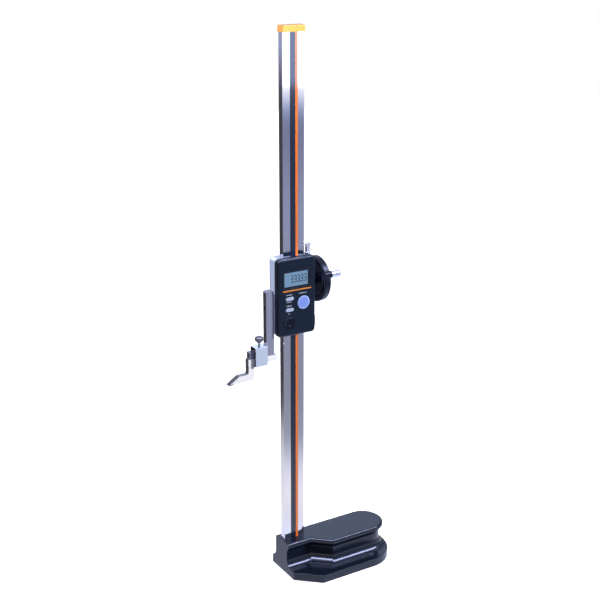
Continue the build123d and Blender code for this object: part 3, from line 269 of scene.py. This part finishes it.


# The side, slant and top colours here are painted light and shade: each gives one steel the brightness that
# light gave those faces
satins = {
    "clampSilver": {
        "color": (0.70, 0.81, 1.0), "metal": 0.40, "rough": 0.10,
        "sideShadingColor": (0.16, 0.12, 0.12), "slantShadingColor": (0.7, 0.7, 0.75),
        "topShadingColor": (0.80, 0.86, 0.95), "topRough": 0.10,
    },
    "scriberSteel": {
        "color": (0.97, 0.96, 1.0), "metal": 0.05, "rough": 0.14, "edge": 0.0002,
        "sideShadingColor": (0.60, 0.59, 0.62), "slantShadingColor": (0.12, 0.105, 0.095),
        "topShadingColor": (0.27, 0.24, 0.23), "topRough": 0.14,
    },
    "leverSteel": {
        "color": (0.64, 0.65, 0.78), "metal": 0.4, "rough": 0.16,
        "sideShadingColor": (0.22, 0.22, 0.26), "slantShadingColor": (0.8, 0.8, 0.86),
        "topShadingColor": (0.8, 0.8, 0.86), "topRough": 0.16,
    },
    "armSteel": {
        "color": (0.29, 0.305, 0.43), "metal": 0.2, "rough": 0.14, "edge": 0.0002,
        "sideShadingColor": (0.56, 0.54, 0.60), "slantShadingColor": (0.34, 0.33, 0.38),
        "topShadingColor": (0.34, 0.33, 0.37), "topRough": 0.16,
    },
    "frameSilver": {
        "color": (0.60, 0.66, 0.84), "metal": 0.6, "rough": 0.52, "edge": 0.0002,
        "sideShadingColor": (0.84, 0.92, 1.0), "slantShadingColor": (0.9, 0.95, 1.0),
        "topShadingColor": (0.72, 0.74, 0.84), "topRough": 0.07,
    },
}
materials.update({name: makeSatin(name, look) for name, look in satins.items()})
print("stage: materials")


def dress(piece, material):
    piece.data.materials.clear()
    piece.data.materials.append(material)


nodeLook = {
    "base": "castPaint", "column": "columnSteel", "column_screws": "screwSteel", "scale_board": "scaleBoard",
    "rack": "gearSteel", "column_cap": "capPlastic", "slider_frame": "frameSilver",
    "slider_back_plate": "sliderMetal", "back_plate_screws": "screwSteel", "gib": "brass",
    "gib_screws": "screwSteel", "reader_board": "boardGreen", "board_pins": "blackPlastic",
    "main_board": "boardGreen", "front_cover": "coverPlastic", "cover_screws": "screwSteel",
    "lcd_panel": "lcdGlass", "lcd_connectors": "keyRubber", "upper_key": "keyPlastic",
    "lower_key": "keyPlastic", "key_mat": "keyRubber",
    "battery_cap": "capBlack", "battery": "screwSteel", "battery_contact": "brass",
    "battery_holder": "blackPlastic", "data_socket": "blackPlastic", "port_cover": "blackPlastic",
    "lock_lever": "leverSteel", "gear_housing": "sliderMetal", "housing_screws": "screwSteel",
    "shaft_bushes": "brass", "pinion": "gearSteel", "wheel_shaft": "gearSteel", "handwheel": "wheelBlack",
    "wheel_screw": "screwSteel", "crank_pin": "gearSteel", "crank_knob": "knobChrome",
    "measuring_arm": "armSteel", "arm_screw": "darkScrew", "scriber_clamp": "clampSilver",
    "clamp_screw": "thumbSteel", "scriber": "scriberSteel", "scriber_tip": "carbide",
}
for name, look in nodeLook.items():
    dress(nodes[name], materials[look])


# Object coordinates in millimetres, one output per axis
def millimetres(tree):
    coords = place(tree, "ShaderNodeTexCoord")
    bigger = place(tree, "ShaderNodeVectorMath", operation="SCALE")
    bigger.inputs["Scale"].default_value = 1 / mm
    tree.links.new(coords.outputs["Object"], bigger.inputs[0])
    parts = place(tree, "ShaderNodeSeparateXYZ")
    tree.links.new(bigger.outputs[0], parts.inputs[0])
    return parts.outputs


def band(tree, value, low, high):
    node = useGroup(tree, bandGroup, Low=low, High=high)
    tree.links.new(value, node.inputs["Value"])
    return node.outputs["Mask"]


# Sideways and upward distance from a centre on a front face
def offsetsFrom(tree, center):
    axes = millimetres(tree)
    return [mathNode(tree, "SUBTRACT", axes[axis], value) for axis, value in zip((0, 2), center)]


def lengthOf(tree, offsets):
    squares = [mathNode(tree, "MULTIPLY", value, value) for value in offsets]
    return mathNode(tree, "SQRT", mathNode(tree, "ADD", *squares))


# The scale film: dark band with an orange stripe along its right side
scaleFilm = {
    "dark": (0.006, 0.014, 0.036), "orange": (0.80, 0.17, 0.015), "stripe": (2.87, 6.9),
    "rough": 0.12, "specular": 0.75,
}
material, tree, surface = newMaterial("scaleFilm")
axes = millimetres(tree)
stripe = band(tree, axes[0], *scaleFilm["stripe"])
color = mixColors(tree, stripe, scaleFilm["dark"], scaleFilm["orange"])
tree.links.new(color, surface.inputs["Base Color"])
surface.inputs["Roughness"].default_value = scaleFilm["rough"]
surface.inputs["Specular IOR Level"].default_value = scaleFilm["specular"]
dress(nodes["scale_film"], material)

# The display window: clear in the middle, dark printed border
windowView = {
    "x": (-26.5, 12.4), "z": (459.2, 479.8), "border": (0.006, 0.009, 0.018), "borderRough": 0.12,
    "glossRough": 0.05, "bending": 1.35,
}
material, tree, surface = newMaterial("displayWindow")
axes = millimetres(tree)
across = band(tree, axes[0], *windowView["x"])
upward = band(tree, axes[2], *windowView["z"])
clear = mathNode(tree, "MULTIPLY", across, upward)
surface.inputs["Base Color"].default_value = (*windowView["border"], 1)
surface.inputs["Roughness"].default_value = windowView["borderRough"]
seeThrough = place(tree, "ShaderNodeBsdfTransparent")
gloss = place(tree, "ShaderNodeBsdfGlossy")
gloss.inputs["Roughness"].default_value = windowView["glossRough"]
fresnel = place(tree, "ShaderNodeFresnel")
fresnel.inputs["IOR"].default_value = windowView["bending"]
geometry = place(tree, "ShaderNodeNewGeometry")
outer = mathNode(tree, "SUBTRACT", 1.0, geometry.outputs["Backfacing"])
shine = mathNode(tree, "MULTIPLY", fresnel.outputs[0], outer)
pane = mixShaders(tree, shine, seeThrough.outputs[0], gloss.outputs[0])
path = place(tree, "ShaderNodeLightPath")
opening = mathNode(tree, "MAXIMUM", clear, path.outputs["Is Shadow Ray"])
blend = mixShaders(tree, opening, surface.outputs[0], pane)
tree.links.new(blend, tree.nodes["Material Output"].inputs["Surface"])
dress(nodes["display_window"], material)

# The round key: a lighter ring round a deeper blue face, a painted highlight where the key's rim catches
# light
roundKey = {
    "center": (4.5, 433.6), "radius": 7.9, "face": (0.20, 0.30, 0.79), "ring": (0.36, 0.48, 0.92),
    "rough": 0.35,
}
material, tree, surface = newMaterial("roundKeyPlastic")
distance = lengthOf(tree, offsetsFrom(tree, roundKey["center"]))
# Painted highlight: the rim outside this radius is lighter
ring = mathNode(tree, "GREATER_THAN", distance, roundKey["radius"])
color = mixColors(tree, ring, roundKey["face"], roundKey["ring"])
tree.links.new(color, surface.inputs["Base Color"])
surface.inputs["Roughness"].default_value = roundKey["rough"]
dress(nodes["round_key"], material)

# The battery cap: a painted highlight arc at its upper left, where light catches the rim, and a small pale
# mark under the slot
capView = {
    "center": (-17.5, 405.9), "highlightArc": (7.2, 8.3), "highlightLean": 3.0, "highlightArcColor": (0.035, 0.05, 0.08),
    "markDrop": 4.3, "markRadius": 0.8, "markColor": (0.14, 0.15, 0.20),
}
tree = materials["capBlack"].node_tree
surface = tree.nodes["Principled BSDF"]
away = offsetsFrom(tree, capView["center"])
# Painted highlight: a lighter arc on the cap's upper left, where the rim catches light
ringBand = band(tree, lengthOf(tree, away), *capView["highlightArc"])
lean = mathNode(tree, "SUBTRACT", away[1], away[0])
upperLeft = mathNode(tree, "GREATER_THAN", lean, capView["highlightLean"])
highlightArc = mathNode(tree, "MULTIPLY", ringBand, upperLeft)
color = mixColors(tree, highlightArc, looks["capBlack"]["color"], capView["highlightArcColor"])
lower = mathNode(tree, "ADD", away[1], capView["markDrop"])
mark = mathNode(tree, "LESS_THAN", lengthOf(tree, (away[0], lower)), capView["markRadius"])
color = mixColors(tree, mark, color, capView["markColor"])
tree.links.new(color, surface.inputs["Base Color"])

# The arm's screw hole is painted dark inside, as painted shade in the recess
armHoleShade = {"x": (-52.3, -40.4), "y": (-16.6, -10.8), "z": (429.2, 434.8), "color": (0.004, 0.004, 0.005)}
tree = materials["armSteel"].node_tree
surface = tree.nodes["Principled BSDF"]
axes = millimetres(tree)
sideways, deep, upward = [band(tree, axes[index], *armHoleShade[key]) for index, key in enumerate("xyz")]
# Painted shade: the box inside the hole is coloured near black
holeShadeMask = mathNode(tree, "MULTIPLY", mathNode(tree, "MULTIPLY", sideways, deep), upward)
armColor = surface.inputs["Base Color"].links[0].from_socket
tree.links.new(mixColors(tree, holeShadeMask, armColor, armHoleShade["color"]), surface.inputs["Base Color"])
print("stage: painted nodes")


# New pieces are made of boxes placed in the mesh
def makeBoxes(name, boxes, material, body):
    bpy.ops.object.select_all(action="DESELECT")
    made = []
    for low, high in boxes:
        bpy.ops.mesh.primitive_cube_add(size=1, location=(0, 0, 0))
        cube = bpy.context.active_object
        for vertex in cube.data.vertices:
            for axis in range(3):
                corner = high if vertex.co[axis] > 0 else low
                vertex.co[axis] = corner[axis] * mm
        made.append(cube)
    bpy.ops.object.select_all(action="DESELECT")
    for cube in made:
        cube.select_set(True)
    bpy.context.view_layer.objects.active = made[0]
    if len(made) > 1:
        bpy.ops.object.join()
    piece = bpy.context.active_object
    piece.name = name
    dress(piece, material)
    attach(piece, body)


coverFront = -24.5  # the cover's front face, in millimetres as all sizes of these pieces
sunk = 0.02  # how far a print reaches into the cover

# The orange line across the cover, under the window
coverLine = {
    "x": (-28.8, 17.0), "z": (452.5, 454.3), "raised": 0.08, "color": (0.80, 0.27, 0.02), "rough": 0.4,
}
left, right = coverLine["x"]
low, high = coverLine["z"]
boxes = [((left, coverFront - coverLine["raised"], low), (right, coverFront + sunk, high))]
makeBoxes("coverLine", boxes, makeMaterial("orangePaint", coverLine), "slider")

# Pale bars printed beside the keys, each row given by its middle and its width
keyMarks = {
    "rows": (
        (-18.7, 447.6, 9.5), (-18.7, 437.1, 8.0), (-18.7, 431.5, 9.0), (-18.7, 420.0, 4.0),
        (4.0, 447.6, 13.0),
    ),
    "pitch": 2.1, "fewest": 2, "height": 1.1, "gap": 0.6, "raised": 0.05,
    "color": (0.56, 0.59, 0.66), "rough": 0.5,
}
boxes = []
for x, z, width in keyMarks["rows"]:
    count = max(keyMarks["fewest"], round(width / keyMarks["pitch"]))
    pitch = width / count
    for index in range(count):
        left = x - width / 2 + index * pitch
        boxes.append((
            (left, coverFront - keyMarks["raised"], z - keyMarks["height"] / 2),
            (left + pitch - keyMarks["gap"], coverFront + sunk, z + keyMarks["height"] / 2),
        ))
makeBoxes("keyMarks", boxes, makeMaterial("labelPaint", keyMarks), "slider")

# The display's digits lie on the panel behind the window, each one a 3 of five bars
digits = {
    "text": "333.33", "right": 10.6, "low": 463.9, "height": 11.0, "width": 4.6, "pitch": 5.3,
    "stroke": 1.25, "space": 0.4, "endGap": 0.4, "middleEndGap": 0.6, "middleGap": 0.3,
    "dotLeft": 0.2, "dotRight": 1.0, "dotHeight": 1.3, "panelFace": -22.5, "raised": 0.06,
    "color": (0.003, 0.006, 0.012), "rough": 0.5,
}
boxes = []
behind = digits["panelFace"]
before = behind - digits["raised"]
low, high = digits["low"], digits["low"] + digits["height"]
middle, stroke = (low + high) / 2, digits["stroke"]
cursor = digits["right"]
for letter in reversed(digits["text"]):
    if letter == ".":
        boxes.append((
            (cursor - digits["dotLeft"], before, low),
            (cursor + digits["dotRight"], behind, low + digits["dotHeight"]),
        ))
        continue
    left, right = cursor - digits["width"], cursor - digits["space"]
    barLeft, barRight = left + digits["endGap"], right - stroke
    bars = (
        (barLeft, high - stroke, barRight, high),
        (barRight, middle + digits["middleGap"], right, high - digits["endGap"]),
        (left + digits["middleEndGap"], middle - stroke / 2, barRight, middle + stroke / 2),
        (barRight, low + digits["endGap"], right, middle - digits["middleGap"]),
        (barLeft, low, barRight, low + stroke),
    )
    for x0, z0, x1, z1 in bars:
        boxes.append(((x0, before, z0), (x1, behind, z1)))
    cursor -= digits["pitch"]
makeBoxes("displayDigits", boxes, makeMaterial("inkPaint", digits), "slider")
print("stage: pieces")

# The floor glows a little to the camera and isn't there for other rays
floorLook = {"size": 8, "z": -0.0005, "color": (0.92, 0.92, 0.93), "rough": 0.8, "glow": 0.85}
bpy.ops.object.select_all(action="DESELECT")
bpy.ops.mesh.primitive_plane_add(size=floorLook["size"], location=(0, 0, floorLook["z"]))
floor = bpy.context.active_object
floor.name = "floor"
material, tree, surface = newMaterial("floorPaint")
surface.inputs["Base Color"].default_value = (*floorLook["color"], 1)
surface.inputs["Roughness"].default_value = floorLook["rough"]
light = place(tree, "ShaderNodeEmission")
light.inputs["Color"].default_value = (1, 1, 1, 1)
light.inputs["Strength"].default_value = floorLook["glow"]
bright = place(tree, "ShaderNodeAddShader")
tree.links.new(surface.outputs[0], bright.inputs[0])
tree.links.new(light.outputs[0], bright.inputs[1])
nothing = place(tree, "ShaderNodeBsdfTransparent")
path = place(tree, "ShaderNodeLightPath")
mix = mixShaders(tree, path.outputs["Is Camera Ray"], nothing.outputs[0], bright.outputs[0])
tree.links.new(mix, tree.nodes["Material Output"].inputs["Surface"])
floor.data.materials.append(material)

# The world: white to the camera, a studio in reflections, a dim glow to all else
studio = {
    "behind": (-0.511, 0.859), "turn": (0.0, 0.5), "glow": (0.35, 0.65),
    "dimColor": (0.13, 0.14, 0.18), "glowColor": (1.7, 1.7, 1.7),
    "frontStops": (
        (-1.0, (0.95, 1.12, 1.6)), (-0.506, (0.95, 1.1, 1.55)), (-0.488, (0.87, 0.84, 0.96)),
        (-0.468, (1.0, 0.98, 1.07)), (-0.45, (0.86, 0.86, 0.99)), (-0.425, (0.365, 0.385, 0.48)),
        (-0.39, (0.30, 0.31, 0.40)), (-0.235, (0.31, 0.34, 0.50)), (-0.175, (0.22, 0.235, 0.36)),
        (-0.158, (0.195, 0.226, 0.36)), (-0.145, (0.44, 0.50, 0.80)), (-0.132, (1.15, 1.15, 1.18)),
        (-0.11, (1.2, 1.2, 1.2)), (0.0, (1.05, 1.05, 1.07)), (0.12, (0.30, 0.33, 0.42)),
        (0.64, (0.30, 0.33, 0.42)), (0.78, (0.72, 0.78, 1.1)), (1.0, (0.72, 0.78, 1.1)),
    ),
    "backStops": (
        (-1.0, (0.74, 0.80, 1.2)), (-0.505, (0.74, 0.80, 1.2)), (-0.488, (0.95, 0.95, 1.02)),
        (-0.445, (0.80, 0.79, 0.87)), (-0.422, (0.54, 0.53, 0.58)), (-0.40, (0.125, 0.128, 0.133)),
        (-0.373, (0.056, 0.055, 0.063)), (-0.145, (0.056, 0.056, 0.068)), (-0.132, (0.08, 0.08, 0.11)),
        (-0.113, (0.24, 0.24, 0.38)), (-0.094, (0.38, 0.41, 0.62)), (0.04, (0.34, 0.36, 0.55)),
        (0.20, (0.40, 0.44, 0.56)), (0.34, (0.85, 0.98, 1.3)), (0.48, (0.96, 1.12, 1.6)),
        (1.0, (0.96, 1.12, 1.6)),
    ),
}
world = bpy.data.worlds.new("studio")
bpy.context.scene.world = world
world.use_nodes = True
tree = world.node_tree
coords = place(tree, "ShaderNodeTexCoord")
split = place(tree, "ShaderNodeSeparateXYZ")
tree.links.new(coords.outputs["Generated"], split.inputs[0])
elevation = mathNode(tree, "ADD", mathNode(tree, "MULTIPLY", split.outputs[2], 0.5), 0.5)


# Reflected surroundings by height: one ramp before the gauge, one behind its left side
def heightRamp(stops):
    ramp = place(tree, "ShaderNodeValToRGB")
    tree.links.new(elevation, ramp.inputs[0])
    elements = ramp.color_ramp.elements
    for height, color in stops[1:-1]:
        elements.new(height / 2 + 0.5)
    for element, (height, color) in zip(elements, stops):
        element.color = (*color, 1)
    return ramp.outputs[0]


shares = [mathNode(tree, "MULTIPLY", split.outputs[index], studio["behind"][index]) for index in range(2)]
side = mathNode(tree, "ADD", *shares)
turn = smoothRange(tree, side, *studio["turn"])
around = mixColors(tree, turn, heightRamp(studio["frontStops"]), heightRamp(studio["backStops"]))
reflected = tree.nodes["Background"]
tree.links.new(around, reflected.inputs[0])
dim = place(tree, "ShaderNodeBackground")
glow = smoothRange(tree, side, *studio["glow"])
dimColor = mixColors(tree, glow, studio["dimColor"], studio["glowColor"])
tree.links.new(dimColor, dim.inputs["Color"])
white = place(tree, "ShaderNodeBackground")
white.inputs["Color"].default_value = (1, 1, 1, 1)
white.inputs["Strength"].default_value = 1.0
path = place(tree, "ShaderNodeLightPath")
soft = mixShaders(tree, path.outputs["Is Glossy Ray"], dim.outputs[0], reflected.outputs[0])
mix = mixShaders(tree, path.outputs["Is Camera Ray"], soft, white.outputs[0])
tree.links.new(mix, tree.nodes["World Output"].inputs["Surface"])

# The lamps: a key light from the right, a long lamp overhead that shows as a soft bright line,
# a card near the column's top, and a small lamp that lightens the cap
lamps = {
    "keyLight": {
        "place": (1.98, -1.46, 1.28), "target": (0.0, 0.0, 0.42), "size": (0.5, 0.5), "power": 106,
        "onlyReflected": False,
    },
    "lineLight": {
        "place": (0.3, -0.95, 2.1), "target": (0.3, 0.0, 0.0), "size": (4.4, 0.5), "power": 190,
        "color": (0.72, 0.80, 1.25), "onlyReflected": True,
    },
    "cardLight": {
        "place": (0.18, -0.31, 0.757), "target": (0.0, 0.0, 0.78), "size": (0.2, 0.14), "power": 0.24,
        "color": (0.75, 0.95, 1.6), "onlyReflected": True,
    },
    "capLight": {
        "place": (-0.09, -0.15, 0.83), "target": (0.0, 0.0, 0.80), "size": (0.05, 0.05), "power": 0.24,
        "onlyReflected": False,
    },
}


def areaLight(name, lamp):
    data = bpy.data.lights.new(name, "AREA")
    data.shape = "RECTANGLE"
    data.size, data.size_y = lamp["size"]
    data.energy = lamp["power"]
    data.color = lamp.get("color", (1.0, 1.0, 1.0))
    light = bpy.data.objects.new(name, data)
    bpy.context.collection.objects.link(light)
    light.location = lamp["place"]
    light.rotation_mode = "QUATERNION"
    ray = Vector(lamp["place"]) - Vector(lamp["target"])
    light.rotation_quaternion = ray.to_track_quat("Z", "Y")
    light.visible_camera = False
    light.visible_diffuse = not lamp["onlyReflected"]
    light.visible_glossy = lamp["onlyReflected"]


for name, lamp in lamps.items():
    areaLight(name, lamp)

cameraSpec = {
    "place": (-0.7801, -1.3160, 0.9334), "yaw": 31.09, "pitch": 18.20, "lens": 67.84, "sensor": 36,
    "clip": (0.05, 50),
}
cameraData = bpy.data.cameras.new("camera")
camera = bpy.data.objects.new("camera", cameraData)
bpy.context.collection.objects.link(camera)
camera.location = cameraSpec["place"]
camera.rotation_euler = (math.radians(90 - cameraSpec["pitch"]), 0, -math.radians(cameraSpec["yaw"]))
cameraData.lens = cameraSpec["lens"]
cameraData.sensor_width = cameraSpec["sensor"]
cameraData.clip_start, cameraData.clip_end = cameraSpec["clip"]
bpy.context.scene.camera = camera
bpy.context.scene.view_settings.view_transform = "Standard"

print("stage: done")
